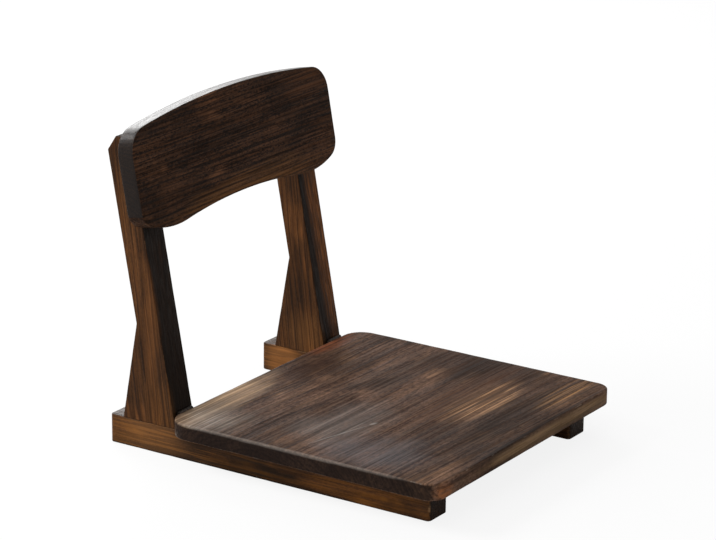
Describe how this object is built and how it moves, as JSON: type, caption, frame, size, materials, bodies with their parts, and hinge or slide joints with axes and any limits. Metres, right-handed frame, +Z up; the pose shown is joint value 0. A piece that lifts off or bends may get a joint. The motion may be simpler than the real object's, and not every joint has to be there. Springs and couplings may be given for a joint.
{
  "type": "folding floor chair",
  "caption": "Low legless wooden floor chair: a flat seat on runners, with a leaning back that folds forward onto the seat.",
  "frame": {"origin": "on the floor, at the bottom centre of the open chair's bounding box", "axes": "+X to the sitter's left, -Y to the front of the seat, +Z up"},
  "size_m": [0.4, 0.4672, 0.4035],
  "materials": {
    "seat_wood": "scorched, brushed and waxed softwood, satin",
    "frame_wood": "scorched and waxed softwood, satin, rubbed to red brown on the sides",
    "back_wood": "deeply scorched, brushed and waxed softwood, satin",
    "hinge_steel": "blackened steel",
    "screw_steel": "yellow zinc plated steel"
  },
  "bodies": {
    "base": {"seat_board": "seat_wood", "runner_right": "frame_wood", "runner_left": "frame_wood", "runner_right_screws": "screw_steel", "runner_left_screws": "screw_steel", "hinge_right_seat_leaf": "hinge_steel", "hinge_left_seat_leaf": "hinge_steel", "hinge_right_pin": "hinge_steel", "hinge_left_pin": "hinge_steel", "hinge_right_seat_screws": "hinge_steel", "hinge_left_seat_screws": "hinge_steel"},
    "backrest": {"upright_right": "frame_wood", "upright_left": "frame_wood", "back_panel": "back_wood", "panel_right_screws": "screw_steel", "panel_left_screws": "screw_steel", "hinge_right_back_leaf": "hinge_steel", "hinge_left_back_leaf": "hinge_steel", "hinge_right_back_screws": "hinge_steel", "hinge_left_back_screws": "hinge_steel"}
  },
  "joints": [
    {"name": "back_fold", "type": "hinge", "parent": "base", "child": "backrest", "pos_m": [0, 0.13785, 0.05226], "axis": [1, 0, 0], "range_deg": [0, 95]}
  ]
}
